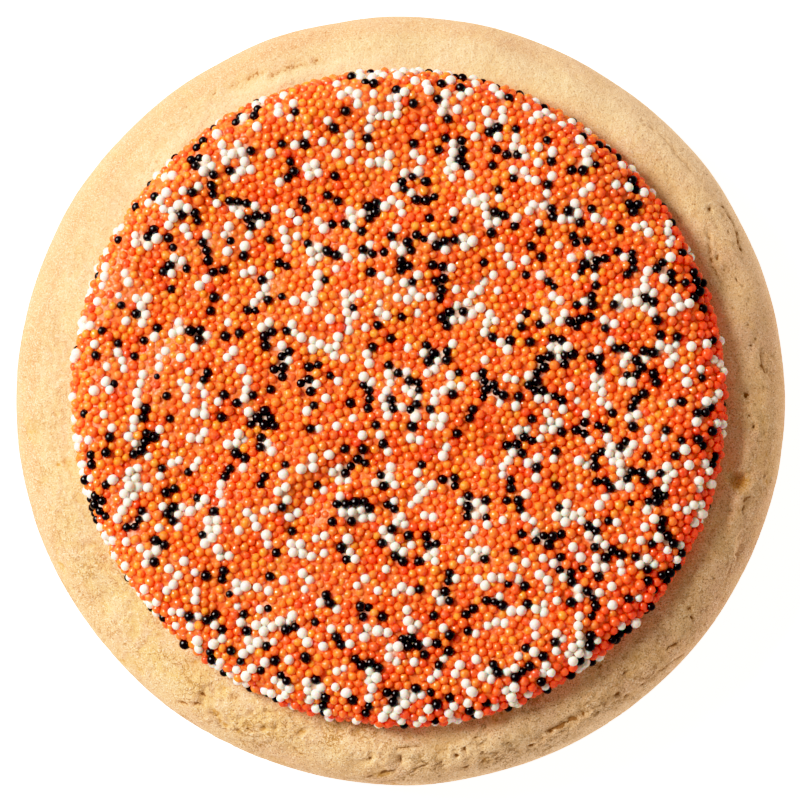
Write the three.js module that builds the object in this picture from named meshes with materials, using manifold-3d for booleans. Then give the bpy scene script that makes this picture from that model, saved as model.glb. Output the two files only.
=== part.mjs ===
// A round sugar cookie that carries a thick disc of icing covered in nonpareil sprinkles.
// Millimetres, +Z up. The origin is the middle of the flat underside. Seen from above,
// +X is to the right, +Y is up, and a bearing is measured from +X towards +Y.

import * as THREE from "three";
import { ParametricGeometry } from "three/addons/geometries/ParametricGeometry.js";
import { mergeVertices } from "three/addons/utils/BufferGeometryUtils.js";
import Module from "manifold-3d";

const wasm = await Module();
wasm.setup();

// ---- Driving dimensions -------------------------------------------------------------

// Cookie: a flat underside, a full round side and a nearly flat top.
const COOKIE_RADIUS = 50;
const COOKIE_HEIGHT = 15;
const WIDEST_HEIGHT = 7.2;
const FOOT_RADIUS = 45.5;
const SHOULDER_RADIUS = 42.4;
const FOOT_FULLNESS = 2.1;
const SHOULDER_FULLNESS = 2.3;
const COOKIE_COLUMNS = 120;
const FOOT_BANDS = 3;
const SHOULDER_BANDS = 9;

// The top stays flat under the icing, and its bumps fade in across this ring.
const BARE_FROM = 41.2;
const BARE_FULLY = 43.4;

// Icing: a thick disc with a round wall that draws in a little at its foot.
const SEAT_GAP = 0.3;
const ICING_RADIUS = 42.1;
const ICING_FOOT_RADIUS = 41.3;
const ICING_WALL_HEIGHT = 4.8;
const ICING_WIDEST_HEIGHT = 1.9;
const ICING_CROWN = 0.5;
const ICING_SHOULDER = 4.2;
const ICING_SHOULDER_SPREAD = 0.6;
const ICING_FULLNESS = 2.2;
const ICING_COLUMNS = 66;
const ICING_FOOT_BANDS = 2;
const ICING_WALL_BANDS = 4;
const ICING_TOP_BANDS = 7;
const TIGHT_SHOULDER_BEARING = 130;

// Nonpareil sprinkles, spread evenly over the icing. Each is a six-sided bead that stands
// on a long point sunk in the icing.
const SPRINKLE_DIAMETER = 1.17;
const SPRINKLE_COUNT = 290;
const SPRINKLE_SIDES = 6;
const SPRINKLE_GIRDLE = 0.35;
const SPRINKLE_ROOT = 4;
const SPRINKLE_PROUD = 0.12;
const SPRINKLE_SIZE_SPREAD = 0.12;
const SPRINKLE_WANDER = 1.4;
const SPRINKLE_SEED = 20;

const DEGREE = Math.PI / 180;
const TURN = 2 * Math.PI;
const GOLDEN_ANGLE = Math.PI * (3 - Math.sqrt(5));
const ICING_BASE = COOKIE_HEIGHT + SEAT_GAP;

// ---- Small helpers ------------------------------------------------------------------

function smoothstep(from, to, value) {
  const t = THREE.MathUtils.clamp((value - from) / (to - from), 0, 1);
  return t * t * (3 - 2 * t);
}

// A soft hill of height 1 that reaches zero one half-width from its middle.
function hill(distance, halfWidth) {
  return 1 - smoothstep(0, halfWidth, Math.abs(distance));
}

// The signed angle in degrees from one bearing to another, between -180 and 180.
function bearingBetween(from, to) {
  return THREE.MathUtils.euclideanModulo(to - from + 180, 360) - 180;
}

// One quadrant of a rounded corner: t runs from its side (0) to its cap (1).
function roundedCorner(t, fullness) {
  const angle = (t * Math.PI) / 2;
  return {
    out: Math.cos(angle) ** (2 / fullness),
    along: Math.sin(angle) ** (2 / fullness),
  };
}

// Seeded random numbers between 0 and 1.
function seededRandom(seed) {
  let state = seed;
  return () => {
    state = (state + 0x6d2b79f5) | 0;
    let mixed = Math.imul(state ^ (state >>> 15), 1 | state);
    mixed = (mixed + Math.imul(mixed ^ (mixed >>> 7), 61 | mixed)) ^ mixed;
    return ((mixed ^ (mixed >>> 14)) >>> 0) / 4294967296;
  };
}

// ---- Joining ------------------------------------------------------------------------

// The closed solid of a geometry: shared corners are merged and flat triangles dropped.
function toSolid(geometry) {
  const bare = geometry.clone();
  bare.deleteAttribute("normal");
  bare.deleteAttribute("uv");
  const merged = mergeVertices(bare, 1e-4);
  const corners = Array.from(merged.index.array);
  const kept = [];
  for (let i = 0; i < corners.length; i += 3) {
    const [a, b, c] = corners.slice(i, i + 3);
    if (a !== b && b !== c && c !== a) {
      kept.push(a, b, c);
    }
  }
  return new wasm.Manifold(
    new wasm.Mesh({
      numProp: 3,
      vertProperties: merged.attributes.position.array,
      triVerts: new Uint32Array(kept),
    }),
  );
}

function toGeometry(solid) {
  const mesh = solid.getMesh();
  const geometry = new THREE.BufferGeometry();
  geometry.setAttribute("position", new THREE.BufferAttribute(mesh.vertProperties, 3));
  geometry.setIndex(new THREE.BufferAttribute(mesh.triVerts, 1));
  geometry.computeVertexNormals();
  return geometry;
}

// ---- Cookie -------------------------------------------------------------------------

// Broad bumps of baked dough: waves that run in evenly spread directions, each shorter
// and lower than the one before.
const DOUGH_WAVES = 9;
const LONGEST_WAVE = 26;
const SHORTEST_WAVE = 7;
const TALLEST_WAVE = 0.12;

function doughBumps(point) {
  let height = 0;
  for (let i = 0; i < DOUGH_WAVES; i += 1) {
    const share = i / (DOUGH_WAVES - 1);
    const length = LONGEST_WAVE * (SHORTEST_WAVE / LONGEST_WAVE) ** share;
    const steepness = 1 - (2 * (i + 0.5)) / DOUGH_WAVES;
    const level = Math.sqrt(1 - steepness ** 2);
    const heading = i * GOLDEN_ANGLE;
    const distance =
      point.x * level * Math.cos(heading) +
      point.y * level * Math.sin(heading) +
      point.z * steepness;
    const tallness = TALLEST_WAVE * Math.sqrt(length / LONGEST_WAVE);
    height += tallness * Math.sin((TURN * distance) / length + i);
  }
  return height;
}

// Hollows (negative) and swellings (positive) pressed into the bare rim. Each lies at a
// bearing and radius, is `length` long round the rim and `width` wide across it.
const RIM_FORMS = [
  { bearing: -13, radius: 45.0, length: 4.6, width: 3.4, height: -0.55 },
  { bearing: -18, radius: 46.6, length: 8.0, width: 1.8, height: 0.35 },
  { bearing: -24, radius: 48.6, length: 9.0, width: 2.2, height: -0.45 },
  { bearing: 1, radius: 45.4, length: 3.4, width: 2.6, height: -0.35 },
  { bearing: 9, radius: 47.2, length: 6.0, width: 2.2, height: -0.3 },
  { bearing: 20, radius: 45.6, length: 5.0, width: 3.0, height: -0.4 },
  { bearing: 25, radius: 47.4, length: 7.0, width: 2.6, height: 0.3 },
  { bearing: -42, radius: 46.4, length: 6.0, width: 2.4, height: -0.3 },
  { bearing: -48, radius: 47.8, length: 12.0, width: 2.0, height: 0.28 },
  { bearing: -70, radius: 46.0, length: 12.0, width: 2.4, height: 0.4 },
  { bearing: -72, radius: 48.4, length: 10.0, width: 2.2, height: -0.4 },
  { bearing: -90, radius: 46.8, length: 3.4, width: 2.0, height: -0.35 },
  { bearing: -96, radius: 47.6, length: 5.0, width: 2.0, height: -0.3 },
  { bearing: -123, radius: 45.8, length: 5.0, width: 3.0, height: -0.3 },
  { bearing: -146, radius: 46.4, length: 5.0, width: 3.2, height: -0.3 },
  { bearing: 167, radius: 45.8, length: 5.0, width: 3.0, height: -0.22 },
  { bearing: 113, radius: 46.4, length: 14.0, width: 2.4, height: -0.35 },
];

function rimForms(point) {
  const bearing = Math.atan2(point.y, point.x) / DEGREE;
  const radius = Math.hypot(point.x, point.y);
  let height = 0;
  for (const form of RIM_FORMS) {
    const along = bearingBetween(form.bearing, bearing) * DEGREE * form.radius;
    const across = radius - form.radius;
    height += form.height * hill(along, form.length / 2) * hill(across, form.width);
  }
  return height * smoothstep(WIDEST_HEIGHT, TOP_BUMPS_FROM, point.z);
}

// The outline of the cookie's half section, from the middle of the underside (0) over
// the side to the middle of the top (1).
function cookieProfile(along) {
  const bands = FOOT_BANDS + SHOULDER_BANDS + 2;
  const step = along * bands - 1;
  if (step < 0) {
    return { radius: FOOT_RADIUS * (step + 1), height: 0 };
  }
  if (step <= FOOT_BANDS) {
    const corner = roundedCorner(1 - step / FOOT_BANDS, FOOT_FULLNESS);
    return {
      radius: FOOT_RADIUS + (COOKIE_RADIUS - FOOT_RADIUS) * corner.out,
      height: WIDEST_HEIGHT * (1 - corner.along),
    };
  }
  if (step <= FOOT_BANDS + SHOULDER_BANDS) {
    const corner = roundedCorner((step - FOOT_BANDS) / SHOULDER_BANDS, SHOULDER_FULLNESS);
    return {
      radius: SHOULDER_RADIUS + (COOKIE_RADIUS - SHOULDER_RADIUS) * corner.out,
      height: WIDEST_HEIGHT + (COOKIE_HEIGHT - WIDEST_HEIGHT) * corner.along,
    };
  }
  return { radius: SHOULDER_RADIUS * (bands - 1 - step), height: COOKIE_HEIGHT };
}

function cookieSurface(turnShare, along, target) {
  const { radius, height } = cookieProfile(along);
  const angle = turnShare * TURN;
  target.set(radius * Math.cos(angle), radius * Math.sin(angle), height);
}

// How much of the bumps shows: all on top, less on the side, so that the outline seen
// from above stays a clean circle, and none on the underside or under the icing.
const SIDE_SHARE = 0.25;
const BUMPS_START_HEIGHT = 2;
const TOP_BUMPS_FROM = 8.7;
const TOP_BUMPS_FULLY = 13.5;

function bumpShare(radius, height) {
  const bare = smoothstep(BARE_FROM, BARE_FULLY, radius);
  const offFloor = smoothstep(0, BUMPS_START_HEIGHT, height);
  const onTop = smoothstep(TOP_BUMPS_FROM, TOP_BUMPS_FULLY, height);
  return bare * offFloor * (SIDE_SHARE + (1 - SIDE_SHARE) * onTop);
}

// Pushes the skin of the cookie in and out along its normals.
function bakeRelief(geometry) {
  geometry.computeVertexNormals();
  const position = geometry.attributes.position;
  const normal = geometry.attributes.normal;
  const point = new THREE.Vector3();
  const push = new THREE.Vector3();
  for (let i = 0; i < position.count; i += 1) {
    point.fromBufferAttribute(position, i);
    push.fromBufferAttribute(normal, i);
    const share = bumpShare(Math.hypot(point.x, point.y), point.z);
    point.addScaledVector(push, (doughBumps(point) + rimForms(point)) * share);
    position.setXYZ(i, point.x, point.y, point.z);
  }
  return geometry;
}

function cookieGeometry() {
  const bands = FOOT_BANDS + SHOULDER_BANDS + 2;
  const smooth = new ParametricGeometry(cookieSurface, COOKIE_COLUMNS, bands);
  return bakeRelief(toGeometry(toSolid(smooth)));
}

// ---- Icing --------------------------------------------------------------------------

// The fold where the spreading knife lifted: an arc round a point below the middle, with
// the icing higher outside it.
const FOLD_CENTRE = { x: 3, y: -31 };
const FOLD_RADIUS = 23.7;
const FOLD_HALF_SPAN = 58;
const FOLD_MIDDLE_BEARING = 98;
const FOLD_DROP_DEPTH = 0.33;
const FOLD_DROP_WIDTH = 2.6;
const FOLD_LIP_HEIGHT = 0.38;
const FOLD_LIP_WIDTH = 7.8;

function fold(x, y) {
  const distance = Math.hypot(x - FOLD_CENTRE.x, y - FOLD_CENTRE.y);
  const bearing = Math.atan2(y - FOLD_CENTRE.y, x - FOLD_CENTRE.x) / DEGREE;
  const span = hill(bearingBetween(FOLD_MIDDLE_BEARING, bearing), FOLD_HALF_SPAN);
  const lip = hill(distance - FOLD_RADIUS - FOLD_DROP_WIDTH, FOLD_LIP_WIDTH);
  const drop = hill(distance - FOLD_RADIUS, FOLD_DROP_WIDTH);
  return span * (FOLD_LIP_HEIGHT * lip - FOLD_DROP_DEPTH * drop);
}

// Faint rings left by the knife's turns round the lower middle.
const SWIRL_CENTRE = { x: 0, y: -17 };
const SWIRL_SPACING = 7.5;
const SWIRL_HEIGHT = 0.13;
const SWIRL_REACH = 26;

function swirl(x, y) {
  const distance = Math.hypot(x - SWIRL_CENTRE.x, y - SWIRL_CENTRE.y);
  const fade = hill(distance, SWIRL_REACH);
  return SWIRL_HEIGHT * fade * Math.cos((TURN * distance) / SWIRL_SPACING);
}

// Slow swells over the whole top.
const SWELLS = [
  { length: 24, heading: 26, height: 0.16 },
  { length: 19, heading: -60, height: 0.16 },
];

function swell(x, y) {
  let height = 0;
  for (const wave of SWELLS) {
    const heading = wave.heading * DEGREE;
    const distance = x * Math.cos(heading) + y * Math.sin(heading);
    height += wave.height * Math.sin((TURN * distance) / wave.length);
  }
  return height;
}

// The icing's outline bulges a little, evenly round the disc in a few lobes.
const ICING_LOBES = [
  { count: 2, bearing: 116, reach: 0.18 },
  { count: 5, bearing: -12, reach: 0.08 },
];

function icingWobble(angle) {
  let reach = 0;
  for (const lobes of ICING_LOBES) {
    reach += lobes.reach * Math.cos(lobes.count * (angle - lobes.bearing * DEGREE));
  }
  return reach;
}

// The shoulder is tightest at one bearing and rounder on the side opposite.
function icingShoulder(angle) {
  const away = -Math.cos(angle - TIGHT_SHOULDER_BEARING * DEGREE);
  return ICING_SHOULDER + ICING_SHOULDER_SPREAD * away;
}

// A point of the icing's half section at one bearing, from the middle of the underside
// (0) up the wall to the middle of the top (1).
function icingProfile(along, angle) {
  const bands = ICING_FOOT_BANDS + ICING_WALL_BANDS + ICING_TOP_BANDS + 1;
  const step = along * bands - 1;
  const wobble = icingWobble(angle);
  const inner = ICING_RADIUS - icingShoulder(angle);
  if (step < 0) {
    return { radius: (ICING_FOOT_RADIUS + wobble) * (step + 1), height: 0 };
  }
  if (step <= ICING_FOOT_BANDS) {
    const corner = roundedCorner(1 - step / ICING_FOOT_BANDS, ICING_FULLNESS);
    return {
      radius: ICING_FOOT_RADIUS + (ICING_RADIUS - ICING_FOOT_RADIUS) * corner.out + wobble,
      height: ICING_WIDEST_HEIGHT * (1 - corner.along),
    };
  }
  const wallStep = step - ICING_FOOT_BANDS;
  if (wallStep <= ICING_WALL_BANDS) {
    const corner = roundedCorner(wallStep / ICING_WALL_BANDS, ICING_FULLNESS);
    const rise = ICING_WALL_HEIGHT - ICING_WIDEST_HEIGHT;
    return {
      radius: inner + (ICING_RADIUS - inner) * corner.out + wobble,
      height: ICING_WIDEST_HEIGHT + rise * corner.along,
    };
  }
  const inward = (wallStep - ICING_WALL_BANDS) / ICING_TOP_BANDS;
  return { radius: (inner + wobble) * (1 - inward), height: ICING_WALL_HEIGHT };
}

// The crown and the waves on top, which fade out down the wall.
function icingTop(x, y, height) {
  const radius = Math.hypot(x, y);
  const crown = ICING_CROWN * (1 - (radius / ICING_RADIUS) ** 2);
  const waves = fold(x, y) + swirl(x, y) + swell(x, y);
  const onTop = smoothstep(ICING_WIDEST_HEIGHT, ICING_WALL_HEIGHT, height);
  return (crown + waves) * onTop;
}

function icingSurface(turnShare, along, target) {
  const angle = turnShare * TURN;
  const { radius, height } = icingProfile(along, angle);
  const x = radius * Math.cos(angle);
  const y = radius * Math.sin(angle);
  target.set(x, y, ICING_BASE + height + icingTop(x, y, height));
}

function icingCore() {
  const bands = ICING_FOOT_BANDS + ICING_WALL_BANDS + ICING_TOP_BANDS + 1;
  return toSolid(new ParametricGeometry(icingSurface, ICING_COLUMNS, bands));
}

// ---- Sprinkles ----------------------------------------------------------------------

// Stations along the icing's half section, with the area swept up to each of them, from
// the widest line of the wall to the middle of the top.
function sweptStations() {
  const steps = 200;
  const bands = ICING_FOOT_BANDS + ICING_WALL_BANDS + ICING_TOP_BANDS + 1;
  const first = (ICING_FOOT_BANDS + 0.5) / bands;
  const stations = [];
  let area = 0;
  let last = null;
  for (let i = 0; i <= steps; i += 1) {
    const along = first + ((1 - first) * i) / steps;
    const place = icingProfile(along, 0);
    if (last) {
      const length = Math.hypot(place.radius - last.radius, place.height - last.height);
      area += (length * (place.radius + last.radius)) / 2;
    }
    stations.push({ along, area });
    last = place;
  }
  return stations;
}

function stationAtShare(stations, share) {
  const wanted = share * stations[stations.length - 1].area;
  const next = stations.findIndex((station) => station.area >= wanted);
  if (next <= 0) {
    return stations[0].along;
  }
  const before = stations[next - 1];
  const after = stations[next];
  const part = (wanted - before.area) / (after.area - before.area);
  return before.along + part * (after.along - before.along);
}

function icingNormal(turnShare, along) {
  const small = 1e-3;
  const points = [
    [turnShare - small, along],
    [turnShare + small, along],
    [turnShare, along - small],
    [turnShare, along + small],
  ].map(([turnAt, alongAt]) => {
    const point = new THREE.Vector3();
    icingSurface(turnAt, alongAt, point);
    return point;
  });
  const round = points[1].sub(points[0]);
  const up = points[3].sub(points[2]);
  return round.cross(up).normalize();
}

// One bead with its pole along the icing's normal.
function sprinkleGeometry(random, centre, normal) {
  const size = 1 + SPRINKLE_SIZE_SPREAD * (2 * random() - 1);
  const radius = (size * SPRINKLE_DIAMETER) / 2;
  const halfSection = [
    new THREE.Vector2(0, -SPRINKLE_ROOT * radius),
    new THREE.Vector2(radius, SPRINKLE_GIRDLE * radius),
    new THREE.Vector2(0, radius),
  ];
  const bead = new THREE.LatheGeometry(halfSection, SPRINKLE_SIDES);
  bead.rotateY(random() * TURN);
  const upright = new THREE.Vector3(0, 1, 0);
  bead.applyQuaternion(new THREE.Quaternion().setFromUnitVectors(upright, normal));
  bead.translate(centre.x, centre.y, centre.z);
  return bead;
}

// Sprinkles on a golden-angle spiral, so that they lie evenly, each a little off its place.
function sprinkleSolids() {
  const random = seededRandom(SPRINKLE_SEED);
  const stations = sweptStations();
  const solids = [];
  for (let i = 0; i < SPRINKLE_COUNT; i += 1) {
    const along = stationAtShare(stations, (i + 0.5) / SPRINKLE_COUNT);
    const wander = (random() - 0.5) * SPRINKLE_WANDER;
    const place = icingProfile(along, 0);
    const turnShare = (i * GOLDEN_ANGLE + wander / Math.max(place.radius, 1)) / TURN;
    const normal = icingNormal(turnShare, along);
    const centre = new THREE.Vector3();
    icingSurface(turnShare, along, centre);
    centre.addScaledVector(normal, SPRINKLE_PROUD);
    solids.push(toSolid(sprinkleGeometry(random, centre, normal)));
  }
  return solids;
}

function icingGeometry() {
  let solid = icingCore();
  for (const sprinkle of sprinkleSolids()) {
    solid = solid.add(sprinkle);
  }
  return toGeometry(solid);
}

// ---- Materials and assembly ---------------------------------------------------------

function bakedDough() {
  return new THREE.MeshStandardMaterial({ color: 0xdcb279, roughness: 0.85, metalness: 0 });
}

function sprinkledIcing() {
  return new THREE.MeshStandardMaterial({ color: 0xf2662a, roughness: 0.45, metalness: 0 });
}

function namedMesh(name, geometry, material) {
  const mesh = new THREE.Mesh(geometry, material);
  mesh.name = name;
  return mesh;
}

const part = new THREE.Group();
part.add(namedMesh("cookie", cookieGeometry(), bakedDough()));
part.add(namedMesh("icing", icingGeometry(), sprinkledIcing()));

export default part;
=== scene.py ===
# A round sugar cookie with a thick disc of icing, covered in nonpareil sprinkles.
# Lengths below are in millimetres unless they say otherwise. +Z is up, and seen from above
# +X is to the right. A bearing is in degrees from +X towards +Y.

import math

import bmesh
import bpy
import numpy as np
from mathutils import Matrix, Vector, kdtree, noise


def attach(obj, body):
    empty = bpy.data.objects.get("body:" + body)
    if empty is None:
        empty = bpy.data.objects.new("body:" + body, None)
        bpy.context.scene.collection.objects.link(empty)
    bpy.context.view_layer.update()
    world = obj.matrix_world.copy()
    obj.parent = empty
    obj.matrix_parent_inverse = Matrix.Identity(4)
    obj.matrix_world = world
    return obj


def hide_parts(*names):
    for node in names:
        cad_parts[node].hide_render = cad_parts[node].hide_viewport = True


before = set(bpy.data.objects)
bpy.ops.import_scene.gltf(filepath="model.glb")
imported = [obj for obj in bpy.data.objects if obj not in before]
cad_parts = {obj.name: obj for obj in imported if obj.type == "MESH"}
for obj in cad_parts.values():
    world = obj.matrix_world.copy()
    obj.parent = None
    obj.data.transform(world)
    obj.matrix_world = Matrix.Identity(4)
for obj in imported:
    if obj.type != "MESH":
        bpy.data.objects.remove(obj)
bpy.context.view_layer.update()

MM = 0.001
TURN = 2 * math.pi
GOLDEN_ANGLE = math.pi * (3 - math.sqrt(5))

# ---- Shape of the cookie, as in the part's source ------------------------------------

COOKIE_RADIUS = 50
COOKIE_HEIGHT = 15
WIDEST_HEIGHT = 7.2
FOOT_RADIUS = 45.5
SHOULDER_RADIUS = 42.4
FOOT_FULLNESS = 2.1
SHOULDER_FULLNESS = 2.3
BARE_FROM = 41.2
BARE_FULLY = 43.4
SIDE_SHARE = 0.25
BUMPS_START_HEIGHT = 2
TOP_BUMPS_FROM = 8.7
TOP_BUMPS_FULLY = 13.5
DOUGH_WAVES = 9
LONGEST_WAVE = 26
SHORTEST_WAVE = 7
TALLEST_WAVE = 0.12

# Mesh of the cookie: columns round it, in slices, and rows up its half section.
SLICES = 12
COOKIE_COLUMNS = 1080
UNDERSIDE_ROWS = 4
FOOT_ROWS = 20
SHOULDER_ROWS = 56
HIDDEN_TOP_ROWS = 4

# The forms and marks below are placed as seen in a picture from above, where the top of the
# rim looks this much larger and lies this much to one side.
SEEN_LARGER = 1.009
SEEN_SHIFT = (-0.16, 0.32)

# Broad forms pressed into the rim: bearing, radius, length round it, width across it,
# and height, which is negative in a hollow.
RIM_FORMS = [
    (-13.6, 45.0, 4.2, 3.2, -0.5),
    (-18, 46.6, 8.0, 1.8, 0.35),
    (-24, 48.6, 9.0, 2.2, -0.45),
    (1, 45.4, 3.4, 2.6, -0.35),
    (9, 47.2, 6.0, 2.2, -0.3),
    (20, 45.6, 5.0, 3.0, -0.4),
    (25, 47.4, 7.0, 2.6, 0.3),
    (-42, 46.4, 6.0, 2.4, -0.3),
    (-48, 47.8, 12.0, 2.0, 0.28),
    (-70, 46.0, 12.0, 2.4, 0.26),
    (-72, 48.4, 10.0, 2.2, -0.26),
    (-90, 46.8, 3.4, 2.0, -0.35),
    (-96, 47.6, 5.0, 2.0, -0.3),
    (-123, 45.8, 5.0, 3.0, -0.3),
    (-146, 46.4, 5.0, 3.2, -0.3),
    (167, 45.8, 5.0, 3.0, -0.22),
    (113, 46.4, 14.0, 2.4, -0.35),
    (40, 49.6, 44.0, 2.6, 0.2),
    (-68, 49.6, 36.0, 2.2, 0.16),
]

# Dents and burst bubbles that stand out: bearing, radius, length round, width across, depth.
DENTS = [
    (-13.4, 45.0, 2.6, 3.0, 0.8),
    (0.6, 45.0, 1.5, 0.9, 0.42),
    (-4.6, 45.9, 1.1, 0.8, 0.34),
    (19.5, 46.6, 1.1, 0.6, 0.30),
    (24.1, 45.3, 1.0, 0.9, 0.25),
    (31.4, 47.1, 1.0, 0.8, 0.28),
    (-36.7, 47.4, 0.9, 0.8, 0.40),
    (-35.7, 46.4, 1.2, 1.1, 0.25),
    (-50.5, 46.0, 1.0, 0.6, 0.32),
    (-49.4, 48.7, 1.2, 0.6, 0.30),
    (-53.6, 47.6, 1.6, 1.4, 0.35),
    (-53.2, 43.3, 1.2, 0.8, 0.30),
    (-77.3, 45.0, 0.9, 0.8, 0.30),
    (-79.4, 46.3, 0.9, 1.2, 0.38),
    (-80.9, 47.0, 1.0, 0.7, 0.38),
    (-89.9, 46.8, 0.8, 1.3, 0.45),
    (-94.7, 46.9, 0.9, 0.7, 0.32),
    (-118.9, 44.1, 2.2, 1.6, 0.22),
    (-123.7, 46.2, 1.4, 0.9, 0.30),
    (103.8, 45.7, 1.8, 1.2, 0.20),
]

# Small pits, each about half a millimetre across: bearing, radius.
PITS = [
    (-0.6, 45.3), (-1, 46.2), (-6.6, 46.8), (-8.9, 46.2), (-10.7, 46.2), (5.3, 47.2),
    (4.8, 48.1), (9.7, 47), (9, 46.5), (15.2, 43.7), (12.1, 46.4), (33.5, 46.1),
    (27.4, 45.4), (27.1, 48), (21.7, 45.5), (-18.1, 43.7), (-17.9, 44.5), (-18.7, 45.2),
    (-22.8, 44), (-25.2, 44.2), (-24.8, 48.2), (-29.7, 46.8), (-31, 45.7), (-40.5, 46.4),
    (-61.8, 44.6), (-68.3, 43.2), (-73.2, 43.6), (-83.5, 47.5), (-83.7, 44.8),
    (-93.1, 46.1), (-97.5, 46.8), (-109.5, 45.6), (-115.3, 48), (-120.8, 48.7),
    (-123.4, 44.5), (-121.6, 44.4), (-143.2, 43.8), (-141.8, 47.4), (-137.3, 46.1),
    (-154.9, 45.5), (-151.5, 45.6), (-133, 46.7), (164.1, 46.4), (-178.8, 46.9),
    (-167.6, 46.4), (-161.9, 46.8), (137.4, 43.9),
]
PIT_SIZE = 0.6
PIT_DEPTH = 0.2

# Cracks and ledges, each a line of (bearing, radius), then its width, its depth, the height
# of the lip along it, the lip's side, and how much further the crack reaches on the other
# side. The lip lies outside the line where its side is 1, and inside where it is -1.
CRACKS = [
    ([(-12.6, 48.1), (-16.7, 46.5), (-19.7, 46.9), (-22.4, 48.0), (-24.8, 48.6)],
      0.7, 0.26, 0.22, -1, 1.3),
    ([(7.2, 47.5), (5.2, 47.6), (3.4, 47.8)], 0.6, 0.24, 0.14, -1, 0.8),
    ([(-2.6, 45.4), (-4.6, 45.9)], 0.5, 0.26, 0.1, 1, 0),
    ([(-7.3, 45.0), (-10.7, 44.8)], 0.5, 0.1, 0.14, 1, 0),
    ([(31.1, 48.9), (28, 48.9), (26.6, 49), (22.4, 48.3)], 0.6, 0.24, 0.06, -1, 0),
    ([(53.2, 48.7), (38.6, 48.1), (33, 48.6)], 0.5, 0.12, 0.04, -1, 0),
    ([(28.7, 45.5), (23.2, 44.1), (19.6, 44.5)], 1.0, 0.2, 0.06, -1, 0),
    ([(-11.6, 48.2), (-14.4, 47.8)], 0.5, 0.2, 0, 1, 0),
    ([(-41.4, 48.0), (-43, 47.6)], 0.6, 0.26, 0.06, 1, 0),
    ([(-44.8, 47.4), (-46.5, 47.4)], 0.7, 0.24, 0.06, 1, 0),
    ([(-41.5, 49.4), (-45.4, 49), (-50, 48.4), (-55, 48.6)], 0.6, 0.2, 0.08, 1, 0),
    ([(-59.6, 47.3), (-62.5, 47.3), (-64, 47.4), (-66.2, 47.4), (-67.2, 47.7)],
      0.8, 0.32, 0.2, 1, 0.8),
    ([(-68.4, 48.3), (-70.1, 48.7)], 0.6, 0.26, 0.04, 1, 0),
    ([(-60.2, 48.7), (-61.4, 48.5)], 0.5, 0.22, 0, 1, 0),
    ([(-58.5, 45.2), (-59.8, 45.9)], 0.6, 0.26, 0, 1, 0),
    ([(-86.8, 45.2), (-89.1, 45.1), (-90.5, 45.5)], 0.6, 0.24, 0.05, 1, 0),
    ([(-91, 48), (-93.2, 48.6), (-95.5, 48.9)], 0.6, 0.26, 0.05, -1, 0),
    ([(-81.2, 46.3), (-83.4, 45.9)], 0.5, 0.2, 0, 1, 0),
    ([(-79.4, 48.3), (-80.6, 48.7)], 0.6, 0.26, 0, 1, 0),
    ([(-95, 44.1), (-96, 44.1)], 0.5, 0.2, 0, 1, 0),
    ([(-126.4, 48.6), (-125, 48.1), (-123.1, 47)], 0.6, 0.24, 0.05, -1, 0),
    ([(-122.4, 45.9), (-121, 45.3)], 0.5, 0.2, 0, 1, 0),
    ([(-113.4, 44), (-111.5, 43.6), (-110.4, 43.9)], 0.5, 0.16, 0.05, -1, 0),
    ([(-116.6, 48), (-114.7, 47.1), (-112.6, 46.8)], 0.8, 0.22, 0.05, 1, 0),
    ([(-107, 47.6), (-105.6, 47.9)], 0.5, 0.2, 0, 1, 0),
    ([(121.5, 46.9), (117.2, 46.5), (114.3, 46.5), (111.1, 45.6), (106, 45.6), (103, 45)],
      2.2, 0.16, 0.16, -1, 0),
]
MIDDLE_OF_RIM = 46.5

# Chance bubbles too many to list one by one, spread over the bare dough.
STRAY_PITS = 420
STRAY_PIT_SIZES = (0.28, 0.62)
STRAY_PIT_DEPTHS = (0.06, 0.18)
STRAY_SEED = 11

# Lumps of the baked surface: size of the lumps and their height.
DOUGH_LUMPS = [(4.2, 0.09), (1.9, 0.05), (0.85, 0.03)]

# Ragged crevices between crumbs: size and depth.
CREVICES = [(2.4, 0.16), (1.0, 0.12)]

# The bearings at which the dough is most crumbly, brown and coarse, and how many degrees
# from there each has fallen to its least. The brownest bearing lies towards the lamp: there
# the browner rim is painted shade.
CRUMBLIEST_BEARING = -105
CREVICE_SPREAD = 150
CRUMBLY_SPREAD = 130
BROWNEST_AND_SHADED_BEARING = 148
BROWN_AND_SHADE_SPREAD = 95
COARSEST_BEARING = -70
COARSE_SPREAD = 170

# Where the dough is paler: bearing, half its spread in degrees, radius, half its width,
# and how much paler. The first row baked paler near the icing; the others are painted light
# on parts of the rim that turn away from the lamp.
PALE_AND_LIT_PATCHES = [
    (112, 60, 44.0, 3.0, 0.65),
    (42, 42, 49.4, 3.4, 1.0),
    (68, 40, 46.6, 3.0, 0.5),
    (-66, 34, 49.8, 2.6, 0.8),
    (-88, 50, 46.5, 4.0, 0.3),
]
# Where it is more golden with butter: along the lower left, and on the floor of one dimple.
GOLDEN_PATCHES = [
    (-128, 58, 45.5, 6.0, 0.62),
    (-13.4, 2.6, 45.1, 2.2, 2.2),
]

# Thin ragged splits that run along the rim: their usual length, depth, and how much longer
# they are than wide apart.
SPLIT_LENGTH = 2.6
SPLIT_DEPTH = 0.24
SPLIT_STRETCH = 2.4
# How dark the splits are painted: partly browned crumb, partly painted shade inside them.
SPLIT_BROWN_AND_SHADE = 0.66

# How far the edges of dents wander, how strongly low places are tinted, and the heights
# between which the toasted foot fades out.
DENT_WANDER = 0.3
LOW_TINT = 0.6
TOASTED_HEIGHTS = (-1.5, 6.5)

# What is painted on the dough for its material to read.
DOUGH_TINTS = ("hollow", "low", "pale", "edge", "golden", "coarse", "crumbly", "toasted")

# ---- Shape of the icing, close to the part's source -----------------------------------

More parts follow.
